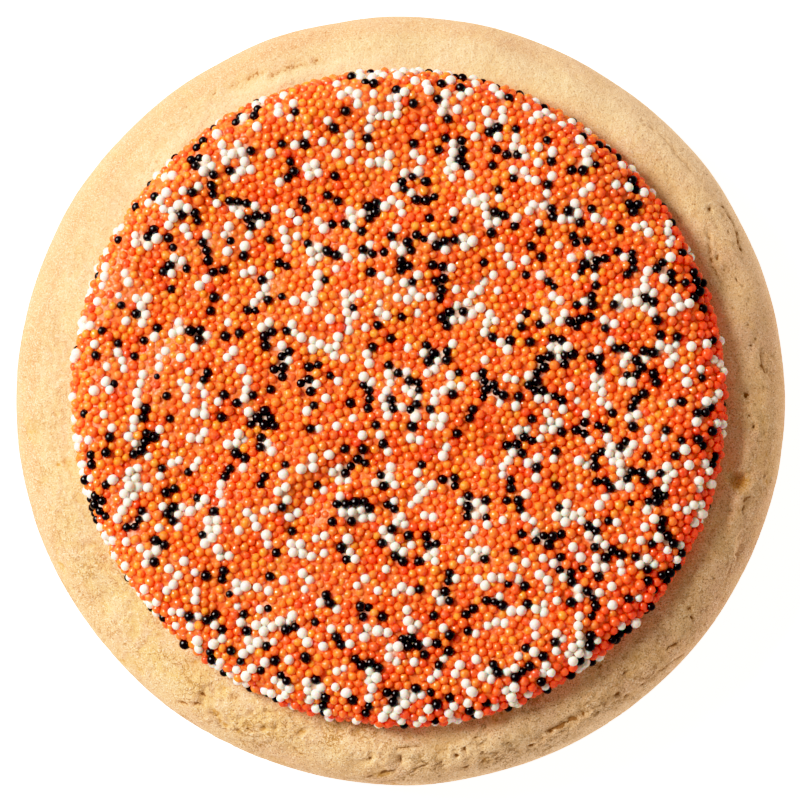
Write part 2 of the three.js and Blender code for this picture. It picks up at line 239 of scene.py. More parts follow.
ICING_BASE = 15.3
ICING_RADIUS = 41.75
ICING_FOOT_RADIUS = 41.0
ICING_WALL_HEIGHT = 4.65
ICING_WIDEST_HEIGHT = 1.6
ICING_CROWN = 0.3
ICING_SHOULDER = 5.4
ICING_SHOULDER_SPREAD = 1.6
ICING_FULLNESS = 2.05
TIGHT_SHOULDER_BEARING = 130
ICING_LOBES = [(2, 116, 0.18), (5, -12, 0.08)]
ARC_FADE = 5
SPREAD_ARCS = [
    {"centre": (-1, -22.4), "radius": 13.6, "bearings": (70, 168), "width": 3.4, "height": -0.75},
    {"centre": (15.4, -63.9), "radius": 57.6, "bearings": (80, 102), "width": 3.6,
     "height": -0.4},
    {"centre": (3, -31), "radius": 29, "bearings": (45, 160), "width": 6.5, "height": 0.5},
    {"centre": (0, 0), "radius": 38.5, "bearings": (40, 145), "width": 5.2, "height": 0.72},
]
SPREAD_BUMPS = [
    (-10.5, 0.5, 6.5, 0.5),
    (2.6, 19.8, 10, 0.55),
    (15.3, -0.6, 8, 0.5),
    (24, 14.7, 7, 0.4),
    (5, -20, 15, -0.45),
]
SWIRL_CENTRE = (0, -17)
SWIRL_SPACING = 7.5
SWIRL_HEIGHT = 0.16
SWIRL_REACH = 26
SWELLS = [(24, 26, 0.25), (19, -60, 0.25)]

# Mesh of the film of icing seen between the sprinkles.
FILM_COLUMNS = 600
FILM_TOP_ROWS = 84
FILM_WALL_ROWS = 20
FILM_FOOT_ROWS = 5
FILM_SUNK = 0.03
FILM_RISE = 0.26
FILM_PATCH = 5.5
FILM_SEAT = 0.4
# Places where the film stands full between the sprinkles: x, y, radius.
FULL_PLACES = [(-13.0, 1.9, 5.0), (-36.0, 12.5, 5.5)]

# Nonpareil sprinkles.
SPRINKLE_COUNT = 5080
SPRINKLE_DIAMETER = 1.23
SPRINKLE_SIZE_SPREAD = 0.075
SMALLEST_SPRINKLE = 0.95
LARGEST_SPRINKLE = 1.45
SPRINKLE_PROUD = -0.05
OTHERS_PROUD = 0.04
SPRINKLE_UNEVEN = 0.09
SPRINKLE_UNEVEN_LIMITS = (-0.14, 0.2)
SPRINKLE_WANDER = 0.5
ORANGE_SIZE = 0.99
OTHERS_SIZE = 1.02
OUT_OF_ROUND = 0.025
OVAL_SHARE = 0.12
OVAL_STRETCH = (1.06, 1.18)
# Beads are drawn this much larger than they settle.
DRAWN_LARGER = 1.02
# Beads closer than this share of the distance at which they touch are rolled apart.
CLOSEST_SHARE = 0.955
NEIGHBOUR_RANGE = 2.0
LIFT_LIMITS = (-0.2, 0.3)
SETTLING_ROUNDS = 70
SPRINKLE_SEED = 20
WHITE_SHARE = 0.205
BLACK_SHARE = 0.15
SAME_AS_NEIGHBOUR = 0.06
ORANGE, WHITE, BLACK = 0, 1, 2
SHAPE_SEED = 100

# The beads' tone: how much it drifts from place to place and differs from bead to bead,
# and how strongly a bead takes its painted glow where it sinks towards the icing.
SHADE_DRIFT = 0.25
SHADE_SPREAD = 0.3
SUNK_GLOW = 0.85

# Each colour of nonpareil: its material, its pale and deep colour, its painted glow colour
# where it sinks towards the icing, which stands in for light scattered through and between
# the beads, its roughness, how much light it scatters, and its shine.
NONPAREILS = {
    "nonpareils_light_orange": ("light_orange_sugar_shell", "#ff881a", "#ff6c1c", "#ff5e30",
                                0.08, 0.95, 0.65),
    "nonpareils_deep_orange": ("deep_orange_sugar_shell", "#ff6c1c", "#ff4813", "#ff4a20",
                               0.08, 0.95, 0.65),
    "nonpareils_white": ("white_sugar_shell", "#e5dccd", "#dfd4c5", "#ffeedd", 0.2, 1.0, 0.5),
    "nonpareils_black": ("black_sugar_shell", "#090302", "#050101", "#0a0301", 0.05, 0, 0.28),
}


# ---- Small helpers --------------------------------------------------------------------

def smoothstep(start, stop, value):
    t = np.clip((value - start) / (stop - start), 0, 1)
    return t * t * (3 - 2 * t)


def hill(distance, half_width):
    """A soft hill of height 1 that reaches zero one half-width from its middle."""
    return 1 - smoothstep(0, half_width, np.abs(distance))


def bearing_between(start, stop):
    """The signed angle in degrees from one bearing to another, between -180 and 180."""
    return (stop - start + 180) % 360 - 180


def rounded_corner(t, fullness):
    """How far out and how far along a rounded corner is, from its side (0) to its cap (1)."""
    angle = np.clip(t, 0, 1) * math.pi / 2
    out = np.clip(np.cos(angle), 0, 1) ** (2 / fullness)
    along = np.clip(np.sin(angle), 0, 1) ** (2 / fullness)
    return out, along


def rough(points, size, detail=2.0, offset=0.0):
    """Random smooth values, about -1 to 1, that change over a size in millimetres."""
    shift = Vector((offset, 2.3 * offset, -1.7 * offset))
    return np.array([
        noise.fractal(Vector(p) / size + shift, 1.0, 2.0, detail) for p in points.tolist()
    ])


# ---- Materials ------------------------------------------------------------------------

# Kinds of node, each with its usual settings and the output that is used.
PLACE = ("ShaderNodeTexCoord", None, "Object")
NOISE = ("ShaderNodeTexNoise",)
MASK = ("ShaderNodeMapRange", {"interpolation_type": "SMOOTHSTEP"})
MIX = ("ShaderNodeMix", {"data_type": "RGBA"}, 2)
PLUS = ("ShaderNodeMath", {"operation": "ADD"})
LESS = ("ShaderNodeMath", {"operation": "SUBTRACT"})
TIMES = ("ShaderNodeMath", {"operation": "MULTIPLY"})
TIMES_PLUS = ("ShaderNodeMath", {"operation": "MULTIPLY_ADD"})
SIZE_OF = ("ShaderNodeMath", {"operation": "ABSOLUTE"})
SUGAR = ("ShaderNodeBsdfPrincipled", {"subsurface_method": "RANDOM_WALK"})

# Noises in the dough: the size of their features in mm, their detail and roughness.
DOUGH_NOISES = {
    "clouds": (7, 3, 0.5), "freckles": (1.5, 4, 0.65), "crumb": (0.45, 3, 0.65),
    "grains": (0.2, 2, 0.7), "specks": (0.8, 3, 0.6), "crumbs": (5, 3, 0.5),
    "wander": (1.5, 6, 0.6), "sand": (0.8, 3, 0.65),
}

# How far light scatters in sugar in mm, and the share of it for red, green and blue.
SCATTER_REACH = 0.8
SCATTER_SHARES = (1.0, 0.4, 0.2)


def linear(hex_colour):
    """An sRGB hex colour as linear red, green, blue and alpha."""
    shares = [int(hex_colour[i:i + 2], 16) / 255 for i in (1, 3, 5)]
    return [s / 12.92 if s <= 0.04045 else ((s + 0.055) / 1.055) ** 2.4 for s in shares] + [1]


def add_node(tree, kind, settings=None, out=0, **inputs):
    """Adds a node with its settings, sets its sockets to values or links them from others,
    and returns one of its outputs. A socket is named, or numbered after an underscore."""
    node = tree.nodes.new(kind)
    for name, value in (settings or {}).items():
        setattr(node, name, value)
    for name, value in inputs.items():
        socket = node.inputs[int(name[1:]) if name[0] == "_" else name.replace("_", " ")]
        if isinstance(value, bpy.types.NodeSocket):
            tree.links.new(value, socket)
        elif isinstance(value, str):
            socket.default_value = linear(value)
        else:
            socket.default_value = value
    return node.outputs[out]


def new_material(name):
    """An empty node material, with the output node that waits for its shader."""
    material = bpy.data.materials.new(name)
    material.use_nodes = True
    tree = material.node_tree
    tree.nodes.clear()
    output = tree.nodes.new("ShaderNodeOutputMaterial")
    return material, tree, output


def per_mm(size):
    """The scale of a noise on Object coordinates whose features are this many mm."""
    return 1 / (size * MM)


def lay_tints(tree, colour, tints):
    """Lays tints over a colour in turn, each by its mask, its strength and its colour."""
    for mask, strength, tint in tints:
        share = add_node(tree, *TIMES, _0=mask, _1=strength)
        colour = add_node(tree, *MIX, _0=share, _6=colour, _7=tint)
    return colour


def baked_sugar_dough():
    """Baked sugar cookie dough: pale, dry and matt. Its crumb is fine and sandy, golden in the
    low places and paler on the raised ones. Its browner hollows, its edge towards the lamp and
    its paler patches on the rim turned from the lamp are partly painted shade and light."""
    material, tree, output = new_material("baked_sugar_dough")
    place = add_node(tree, *PLACE)
    noises = {
        name: add_node(tree, *NOISE, Vector=place, Scale=per_mm(size), Detail=detail,
                       Roughness=roughness)
        for name, (size, detail, roughness) in DOUGH_NOISES.items()
    }
    hollow, low, pale, edge, golden, coarse, crumbly, toasted = [
        add_node(tree, "ShaderNodeAttribute", {"attribute_name": name}, "Fac")
        for name in DOUGH_TINTS
    ]
    # The crumb breaks up the soft edges of low and hollow places, and gaps between crumbs
    # run where a noise crosses its middle value.
    low_in_crumb = add_node(tree, *PLUS, _0=low, _1=noises["crumb"])
    hollow_in_crumb = add_node(tree, *PLUS, _0=hollow, _1=noises["crumb"])
    off_line = add_node(tree, *LESS, _0=noises["wander"], _1=0.5)
    off_line = add_node(tree, *SIZE_OF, _0=off_line)
    clouds, freckles, dark_grains, pale_grains, specks, crumbs, gaps, low_marks, dark_marks = [
        add_node(tree, *MASK, Value=value, From_Min=start, From_Max=full)
        for value, start, full in [
            (noises["clouds"], 0.38, 0.64), (noises["freckles"], 0.44, 0.66),
            (noises["grains"], 0.45, 0.33), (noises["grains"], 0.54, 0.64),
            (noises["specks"], 0.68, 0.77), (noises["crumbs"], 0.47, 0.58),
            (off_line, 0.022, 0.008), (low_in_crumb, 0.98, 1.16), (hollow_in_crumb, 1.0, 1.24),
        ]
    ]
    crumbs = add_node(tree, *TIMES, _0=crumbs, _1=crumbly)
    gaps = add_node(tree, *TIMES, _0=gaps, _1=crumbs)
    darkness = add_node(tree, *TIMES_PLUS, _0=coarse, _1=0.65, _2=0.35)
    paleness = add_node(tree, *TIMES_PLUS, _0=coarse, _1=0.5, _2=0.35)
    colour = add_node(tree, *MIX, _0=clouds, _6="#e5b37b", _7="#e5ad7e")
    colour = lay_tints(tree, colour, [
        (freckles, 1, "#e0a96f"),
        # Paler patches: partly dough that baked paler, partly painted light on the rim turned
        # from the lamp.
        (pale, 1, "#f7cb98"),
        (golden, 1, "#e2a650"),
        # The edge tint is real browning, and painted shade on the rim towards the lamp.
        (edge, 1, "#d79261"),
        (dark_grains, darkness, "#8e5a31"),
        (pale_grains, paleness, "#f6dab4"),
        (gaps, 0.85, "#b87c2a"),
        (low, 1, "#d9a25e"),
        (low_marks, 1, "#c4873f"),
        (specks, 1, "#b3793a"),
        (toasted, 1, "#ab7136"),
        # Hollows and the dark marks in them: browned crumb, and painted shade inside pits and
        # cracks.
        (hollow, 0.6, "#b8823f"),
        (dark_marks, 1, "#935e2a"),
    ])
    heights = add_node(tree, *TIMES_PLUS, _0=noises["grains"], _1=0.8, _2=noises["sand"])
    heights = add_node(tree, *TIMES_PLUS, _0=gaps, _1=-0.6, _2=heights)
    bump = add_node(tree, "ShaderNodeBump", Height=heights, Strength=1.0, Distance=0.11 * MM)
    shader = add_node(tree, "ShaderNodeBsdfPrincipled", Base_Color=colour, Roughness=0.82,
                      IOR=1.45, Specular_IOR_Level=0.25, Normal=bump)
    tree.links.new(shader, output.inputs[0])
    return material


def sugar_icing():
    """Set sugar icing in a thin wet-looking film, orange round the orange beads in it: partly
    their dye and partly painted light bounced between them.
    """
    material, tree, output = new_material("sugar_icing")
    place = add_node(tree, *PLACE)
    stain_and_glow = add_node(tree, "ShaderNodeAttribute", {"attribute_name": "stain_and_glow"}, "Fac")
    clouds = add_node(tree, *NOISE, Vector=place, Scale=per_mm(1.6))
    clouds = add_node(tree, *MASK, Value=clouds, From_Min=0.35, From_Max=0.65)
    plain = add_node(tree, *MIX, _0=clouds, _6="#ecb092", _7="#f0c4ae")
    # The stained colour is partly dye and partly painted glow of light bounced between orange
    # beads.
    stained_and_glowing = add_node(tree, *MIX, _0=clouds, _6="#ff5a1c", _7="#ff6c26")
    colour = add_node(tree, *MIX, _0=stain_and_glow, _6=plain, _7=stained_and_glowing)
    ripples = add_node(tree, *NOISE, Vector=place, Scale=per_mm(0.4), Detail=3, Roughness=0.6)
    bump = add_node(tree, "ShaderNodeBump", Height=ripples, Strength=0.8, Distance=0.22 * MM)
    shader = add_node(tree, *SUGAR, Base_Color=colour, Roughness=0.2, IOR=1.48,
                      Specular_IOR_Level=0.35, Subsurface_Weight=0.5,
                      Subsurface_Radius=SCATTER_SHARES, Subsurface_Scale=SCATTER_REACH * MM,
                      Normal=bump)
    tree.links.new(shader, output.inputs[0])
    return material


def sugar_shell(name, pale, deep, low, roughness, through, shine):
    """Panned sugar beads with a polished colour coat: satin, a little uneven, deeper in colour
    from bead to bead, with painted shade on beads on the icing's wall, and with a painted glow
    low on each bead where it sinks towards the icing."""
    material, tree, output = new_material(name)
    place = add_node(tree, *PLACE)
    tone_and_shade, sunk_glow = [add_node(tree, "ShaderNodeAttribute", {"attribute_name": tint}, "Fac")
                   for tint in ("tone_and_shade", "sunk_glow")]
    mottle = add_node(tree, *NOISE, Vector=place, Scale=per_mm(0.7))
    mottle = add_node(tree, *MASK, Value=mottle, From_Min=0.3, From_Max=0.7)
    colour = add_node(tree, *MIX, _0=tone_and_shade, _6=pale, _7=deep)
    # The low colour laid on by the sunk mask is painted glow of light scattered through the
    # beads.
    colour = lay_tints(tree, colour, [(mottle, 0.2, deep), (sunk_glow, 1, low)])
    dimples = add_node(tree, *NOISE, Vector=place, Scale=per_mm(0.35))
    bump = add_node(tree, "ShaderNodeBump", Height=dimples, Strength=0.25, Distance=0.03 * MM)
    shader = add_node(tree, *SUGAR, Base_Color=colour, Roughness=roughness, IOR=1.5,
                      Specular_IOR_Level=shine, Subsurface_Weight=through,
                      Subsurface_Radius=SCATTER_SHARES, Subsurface_Scale=SCATTER_REACH * MM,
                      Normal=bump)
    tree.links.new(shader, output.inputs[0])
    return material


# ---- Modelling helpers ------------------------------------------------------------------

def deselect_all():
    bpy.ops.object.select_all(action="DESELECT")


def read_points(mesh):
    """The mesh's points as an array, in millimetres."""
    points = np.empty(len(mesh.vertices) * 3)
    mesh.vertices.foreach_get("co", points)
    return points.reshape(-1, 3) / MM


def write_points(mesh, points):
    mesh.vertices.foreach_set("co", (points * MM).ravel())
    mesh.update()


def read_normals(mesh):
    normals = np.empty(len(mesh.vertices) * 3)
    mesh.vertex_normals.foreach_get("vector", normals)
    return normals.reshape(-1, 3)


def paint_attribute(mesh, name, values):
    layer = mesh.attributes.new(name, "FLOAT", "POINT")
    layer.data.foreach_set("value", np.clip(values, 0, 1).astype(np.float32))


def turned_solid(name, section, columns):
    """A half section of (radius, height) points, drawn from an open ring and spun round Z:
    first one slice, which is then copied round to close the turn."""
    deselect_all()
    bpy.ops.mesh.primitive_circle_add(vertices=len(section), radius=1)
    piece = bpy.context.object
    piece.name = piece.data.name = name
    outline = np.array([(radius, 0, height) for radius, height in section])
    write_points(piece.data, outline)
    bpy.ops.object.mode_set(mode="EDIT")
    bpy.ops.mesh.select_mode(type="EDGE")
    bpy.ops.mesh.select_all(action="DESELECT")
    drawn = bmesh.from_edit_mesh(piece.data)
    last = len(section) - 1
    for edge in drawn.edges:
        edge.select = {v.index for v in edge.verts} == {0, last}
    bmesh.update_edit_mesh(piece.data)
    bpy.ops.mesh.delete(type="EDGE")
    bpy.ops.mesh.select_all(action="SELECT")
    axle = {"center": (0, 0, 0), "axis": (0, 0, 1)}
    bpy.ops.mesh.spin(steps=columns // SLICES, angle=TURN / SLICES, **axle)
    bpy.ops.mesh.select_all(action="SELECT")
    bpy.ops.mesh.spin(steps=SLICES, angle=TURN, dupli=True, use_auto_merge=False, **axle)
    bpy.ops.mesh.select_all(action="SELECT")
    bpy.ops.mesh.remove_doubles(threshold=0.002 * MM)
    bpy.ops.mesh.normals_make_consistent(inside=False)
    bpy.ops.object.mode_set(mode="OBJECT")
    bpy.ops.object.shade_smooth()
    return piece


# ---- Cookie -----------------------------------------------------------------------------

def cookie_section():
    """The half section from the middle of the underside, round the side, to the top."""
    section = [(FOOT_RADIUS * i / UNDERSIDE_ROWS, 0) for i in range(UNDERSIDE_ROWS)]
    for i in range(FOOT_ROWS):
        out, along = rounded_corner(1 - i / FOOT_ROWS, FOOT_FULLNESS)
        section.append((FOOT_RADIUS + (COOKIE_RADIUS - FOOT_RADIUS) * out,
                        WIDEST_HEIGHT * (1 - along)))
    for i in range(SHOULDER_ROWS):
        out, along = rounded_corner(i / SHOULDER_ROWS, SHOULDER_FULLNESS)
        section.append((SHOULDER_RADIUS + (COOKIE_RADIUS - SHOULDER_RADIUS) * out,
                        WIDEST_HEIGHT + (COOKIE_HEIGHT - WIDEST_HEIGHT) * along))
    for i in range(HIDDEN_TOP_ROWS + 1):
        section.append((SHOULDER_RADIUS * (1 - i / HIDDEN_TOP_ROWS), COOKIE_HEIGHT))
    return section


def dough_bumps(points):
    """Broad waves that run in evenly spread directions, each shorter and lower."""
    height = np.zeros(len(points))
    for i in range(DOUGH_WAVES):
        length = LONGEST_WAVE * (SHORTEST_WAVE / LONGEST_WAVE) ** (i / (DOUGH_WAVES - 1))
        steepness = 1 - 2 * (i + 0.5) / DOUGH_WAVES
        level = math.sqrt(1 - steepness ** 2)
        heading = i * GOLDEN_ANGLE
        way = np.array([level * math.cos(heading), level * math.sin(heading), steepness])
        tallness = TALLEST_WAVE * math.sqrt(length / LONGEST_WAVE)
        height += tallness * np.sin(TURN * (points @ way) / length + i)
    return height


def as_seen(points):
    """The bearing and radius at which each point on the rim is seen."""
    x = points[:, 0] * SEEN_LARGER + SEEN_SHIFT[0]
    y = points[:, 1] * SEEN_LARGER + SEEN_SHIFT[1]
    return np.degrees(np.arctan2(y, x)), np.hypot(x, y)


def rim_forms(bearing, radius):
    height = np.zeros(len(bearing))
    for middle, at_radius, length, width, tall in RIM_FORMS:
        along = np.radians(bearing_between(middle, bearing)) * at_radius
        height += tall * hill(along, length / 2) * hill(radius - at_radius, width)
    return height


def dent(bearing, radius, middle, at_radius, length, width):
    """How deep in one oval dent each point lies, from 0 at its edge to 1 on its floor."""
    along = np.radians(bearing_between(middle, bearing)) * at_radius / (length / 2)
    across = (radius - at_radius) / (width / 2)
    return smoothstep(1, 0.25, np.hypot(along, across))


def dents_and_pits(bearing, radius):
    """The height of all dents and pits, and how hollow each point is."""
    draw = np.random.default_rng(STRAY_SEED)
    holes = list(DENTS)
    holes += [(b, r, PIT_SIZE, PIT_SIZE, PIT_DEPTH) for b, r in PITS]
    for _ in range(STRAY_PITS):
        size = draw.uniform(*STRAY_PIT_SIZES)
        holes.append((draw.uniform(-180, 180), draw.uniform(43.2, 49.6), size,
                      size * draw.uniform(0.7, 1.2), draw.uniform(*STRAY_PIT_DEPTHS)))
    height = np.zeros(len(bearing))
    hollow = np.zeros(len(bearing))
    for middle, at_radius, length, width, depth in holes:
        near = np.flatnonzero(
            (np.abs(bearing_between(middle, bearing)) < 3) & (np.abs(radius - at_radius) < 2)
        )
        inside = dent(bearing[near], radius[near], middle, at_radius, length, width)
        height[near] -= depth * inside
        # Deeper and narrower holes are painted darker: partly browned crumb, partly painted shade
        # in them.
        browned_and_shaded = min(1, 0.45 + depth * 1.4) / max(1, width) ** 0.6
        hollow[near] = np.maximum(hollow[near], inside * browned_and_shaded)
    return height, hollow


def beside_line(bearing, radius, line):
    """The distance of each point from a line of (bearing, radius), positive outside it."""
    nearest = np.full(len(bearing), np.inf)
    signed = np.full(len(bearing), np.inf)
    for (b0, r0), (b1, r1) in zip(line, line[1:]):
        x = np.radians(bearing_between(b0, bearing)) * MIDDLE_OF_RIM
        y = radius - r0
        dx = math.radians(bearing_between(b0, b1)) * MIDDLE_OF_RIM
        dy = r1 - r0
        share = np.clip((x * dx + y * dy) / (dx * dx + dy * dy), 0, 1)
        gap = np.hypot(x - share * dx, y - share * dy)
        closer = gap < nearest
        nearest[closer] = gap[closer]
        outward = np.where(y - share * dy >= 0, 1, -1)
        signed[closer] = (gap * outward)[closer]
    return signed


def cracks(points, bearing, radius):
    """The height of all cracks with their lips, and how hollow each point is."""
    height = np.zeros(len(bearing))
    hollow = np.zeros(len(bearing))
    for line, width, depth, lip, side, reach in CRACKS:
        middle = line[len(line) // 2][0]
        near = np.flatnonzero(np.abs(bearing_between(middle, bearing)) < 16)
        ragged = 0.35 * rough(points[near], 1.9, detail=4, offset=4.0)
        across = beside_line(bearing[near], radius[near] + ragged, line)
        open_here = smoothstep(-0.5, 0.25, rough(points[near], 1.2, offset=6.0))
        on_lip = across * side > 0
        in_crack = hill(across, width / 2 + np.where(on_lip, 0, reach)) * open_here
        lip_middle = side * (0.4 + width / 2)
        height[near] -= depth * in_crack
        height[near] += lip * hill(across - lip_middle, 0.5 + width)
        # Cracks are painted darker by their depth: partly browned crumb, partly painted shade in
        # them.
        browned_and_shaded = hill(across, 0.2 + 0.45 * width) * open_here
        browned_and_shaded *= min(1, 0.3 + 2 * depth)
        hollow[near] = np.maximum(hollow[near], browned_and_shaded)
    return height, hollow


def dough_lumps(points, bearing):
    """Small lumps, and ragged crevices where random values run low."""
    height = np.zeros(len(points))
    for size, tall in DOUGH_LUMPS:
        height += tall * rough(points, size, offset=size)
    off_crumbliest = bearing_between(CRUMBLIEST_BEARING, bearing)
    crumbly = 0.35 + 0.65 * hill(off_crumbliest, CREVICE_SPREAD)
    for size, depth in CREVICES:
        shown = crumbly * smoothstep(-0.35, 0.4, rough(points, 4 * size, offset=size))
        cut = smoothstep(0.18, 0.36, rough(points, size, detail=5, offset=8 * size))
        height -= depth * shown * cut
    return height


def splits(points, bearing, radius):
    """How deep in a thin split of the crust each point lies, from 0 to 1."""
    angle = np.radians(bearing)
    stretched = np.column_stack([MIDDLE_OF_RIM * np.cos(angle), MIDDLE_OF_RIM * np.sin(angle),
                                 SPLIT_STRETCH * radius])
    line = hill(rough(stretched, SPLIT_LENGTH, detail=5, offset=5.0), 0.13)
    shown = smoothstep(-0.05, 0.3, rough(points, 4.5, offset=9.0))
    off_crumbliest = bearing_between(CRUMBLIEST_BEARING, bearing)
    crumbly = 0.25 + 0.75 * hill(off_crumbliest, CRUMBLY_SPREAD)
    return line * shown * crumbly


def patches(bearing, radius, table):
    """How much of a tint each point takes from a table of soft patches on the rim."""
    tint = np.zeros(len(bearing))
    for middle, spread, at_radius, width, share in table:
        along = hill(bearing_between(middle, bearing), spread)
        tint += share * along * hill(radius - at_radius, width)
    return tint


def bare_share(points, radius):
    """How much of the relief shows: all on top of the rim, less down the side."""
    bare = smoothstep(BARE_FROM, BARE_FULLY, radius)
    off_floor = smoothstep(0, BUMPS_START_HEIGHT, points[:, 2])
    on_top = smoothstep(TOP_BUMPS_FROM, TOP_BUMPS_FULLY, points[:, 2])
    return bare * off_floor * (SIDE_SHARE + (1 - SIDE_SHARE) * on_top)


def make_cookie():
    cookie = turned_solid("sugar_cookie", cookie_section(), COOKIE_COLUMNS)
    mesh = cookie.data
    points = read_points(mesh)
    reach = np.hypot(points[:, 0], points[:, 1])
    skin = np.flatnonzero((reach > BARE_FROM) & (points[:, 2] > 0.02))
    at = points[skin]
    bearing, radius = as_seen(at)
    upper = smoothstep(WIDEST_HEIGHT, TOP_BUMPS_FROM, at[:, 2])
    wander = DENT_WANDER * rough(at, 0.9, detail=3, offset=15.0)
    dent_height, dent_hollow = dents_and_pits(bearing + wander, radius + wander)
    crack_height, crack_hollow = cracks(at, bearing, radius)
    height = dough_bumps(at) + rim_forms(bearing, radius) * upper
    height += (dent_height + crack_height) * upper
    lumps = dough_lumps(at, bearing)
    split = splits(at, bearing, radius)
    height += lumps - SPLIT_DEPTH * split
    points[skin] += read_normals(mesh)[skin] * (height * bare_share(at, reach[skin]))[:, None]
    write_points(mesh, points)
    hollow = np.maximum(np.maximum(dent_hollow, crack_hollow), SPLIT_BROWN_AND_SHADE * split)
    golden = patches(bearing, radius, GOLDEN_PATCHES)
    golden *= smoothstep(-0.5, 0.35, rough(at, 2.2, detail=4, offset=12.0))
    # The edge browns a little all round; towards the lamp it is painted shade, browner on the
    # outer band and the middle of the rim where the lamp lights them most.
    browner_and_shaded = hill(bearing_between(BROWNEST_AND_SHADED_BEARING, bearing), BROWN_AND_SHADE_SPREAD)
    edge = smoothstep(46.8, 48.8, radius) * (0.25 + 0.75 * browner_and_shaded)
    edge += 0.45 * browner_and_shaded * smoothstep(44.5, 46.5, radius)
    coarser = hill(bearing_between(COARSEST_BEARING, bearing), COARSE_SPREAD)
    crumblier = hill(bearing_between(CRUMBLIEST_BEARING, bearing), CRUMBLY_SPREAD)
    on_skin = [hollow * upper, LOW_TINT * smoothstep(0, -0.24, lumps),
               patches(bearing, radius, PALE_AND_LIT_PATCHES), edge, golden,
               0.32 + 0.68 * coarser, 0.15 + 0.85 * crumblier]
    for name, values in zip(DOUGH_TINTS, on_skin):
        tint = np.zeros(len(points))
        tint[skin] = values
        paint_attribute(mesh, name, tint)
    paint_attribute(mesh, "toasted", 1 - smoothstep(*TOASTED_HEIGHTS, points[:, 2]))
    mesh.materials.append(baked_sugar_dough())
    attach(cookie, "root")
    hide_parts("cookie")
    return cookie


# ---- Icing ------------------------------------------------------------------------------

def arcs(x, y):
    """Ridges and grooves along arcs, where the spreading knife lifted or turned."""
    height = np.zeros_like(x)
    for arc in SPREAD_ARCS:
        dx, dy = x - arc["centre"][0], y - arc["centre"][1]
        start, stop = arc["bearings"]
        off_middle = bearing_between((start + stop) / 2, np.degrees(np.arctan2(dy, dx)))
        from_end = np.radians((stop - start) / 2 - np.abs(off_middle)) * arc["radius"]
        shown = smoothstep(0, ARC_FADE, from_end)
        height += arc["height"] * shown * hill(np.hypot(dx, dy) - arc["radius"], arc["width"])
    return height


def bumps(x, y):
    height = np.zeros_like(x)
    for middle_x, middle_y, radius, tall in SPREAD_BUMPS:
        height += tall * hill(np.hypot(x - middle_x, y - middle_y), radius)
    return height


def swirl(x, y):
    """Faint rings left by the knife's turns."""
    distance = np.hypot(x - SWIRL_CENTRE[0], y - SWIRL_CENTRE[1])
    return SWIRL_HEIGHT * hill(distance, SWIRL_REACH) * np.cos(TURN * distance / SWIRL_SPACING)


def swell(x, y):
    height = np.zeros_like(x)
    for length, heading, tall in SWELLS:
        way = math.radians(heading)
        distance = x * math.cos(way) + y * math.sin(way)
        height += tall * np.sin(TURN * distance / length)
    return height


def icing_wobble(angle):
    reach = np.zeros_like(angle)
    for count, bearing, size in ICING_LOBES:
        reach += size * np.cos(count * (angle - math.radians(bearing)))
    return reach


def icing_shoulder(angle):
    away = -np.cos(angle - math.radians(TIGHT_SHOULDER_BEARING))
    return ICING_SHOULDER + ICING_SHOULDER_SPREAD * away


def corner_table(wide, tall):
    """Shares of a rounded corner's length, with the corner's parameter at each share."""
    t = np.linspace(0, 1, 400)
    out, along = rounded_corner(t, ICING_FULLNESS)
    steps = np.hypot(np.diff(out * wide), np.diff(along * tall))
    length = np.concatenate([[0], np.cumsum(steps)])
    return length / length[-1], t, length[-1]


WALL_RISE = ICING_WALL_HEIGHT - ICING_WIDEST_HEIGHT
WALL_SHARES, WALL_T, WALL_LENGTH = corner_table(ICING_SHOULDER, WALL_RISE)
FOOT_SHARES, FOOT_T, FOOT_LENGTH = corner_table(ICING_RADIUS - ICING_FOOT_RADIUS,
                                                ICING_WIDEST_HEIGHT)
WALL_END = ICING_RADIUS - ICING_SHOULDER + WALL_LENGTH
FULL_REACH = WALL_END + FOOT_LENGTH


def icing_skin(spread):
    """Where places on the icing, spread flat from the middle of its top, lie in space."""
    reach = np.hypot(spread[:, 0], spread[:, 1])
    angle = np.arctan2(spread[:, 1], spread[:, 0])
    wobble = icing_wobble(angle)
    shoulder = icing_shoulder(angle)
    inner = ICING_RADIUS - shoulder
    past_top = (reach - inner) / (WALL_END - inner)
    t_wall = np.interp(1 - np.clip(past_top, 0, 1), WALL_SHARES, WALL_T)
    out, along = rounded_corner(t_wall, ICING_FULLNESS)
    radius = np.where(past_top < 0, reach + wobble * reach / inner,
                      inner + shoulder * out + wobble)
    height = np.where(past_top < 0, ICING_WALL_HEIGHT,
                      ICING_WIDEST_HEIGHT + WALL_RISE * along)
    past_wall = (reach - WALL_END) / FOOT_LENGTH
    t_foot = np.interp(np.clip(past_wall, 0, 1), FOOT_SHARES, FOOT_T)
    out, along = rounded_corner(t_foot, ICING_FULLNESS)
    below = past_wall > 0
    foot_reach = ICING_FOOT_RADIUS + (ICING_RADIUS - ICING_FOOT_RADIUS) * out + wobble
    radius = np.where(below, foot_reach, radius)
    height = np.where(below, ICING_WIDEST_HEIGHT * (1 - along), height)
    x, y = radius * np.cos(angle), radius * np.sin(angle)
    crown = ICING_CROWN * (1 - (radius / ICING_RADIUS) ** 2)
    waves = arcs(x, y) + bumps(x, y) + swirl(x, y) + swell(x, y)
    on_top = smoothstep(ICING_WIDEST_HEIGHT, ICING_WALL_HEIGHT, height)
    return np.column_stack([x, y, ICING_BASE + height + (crown + waves) * on_top])


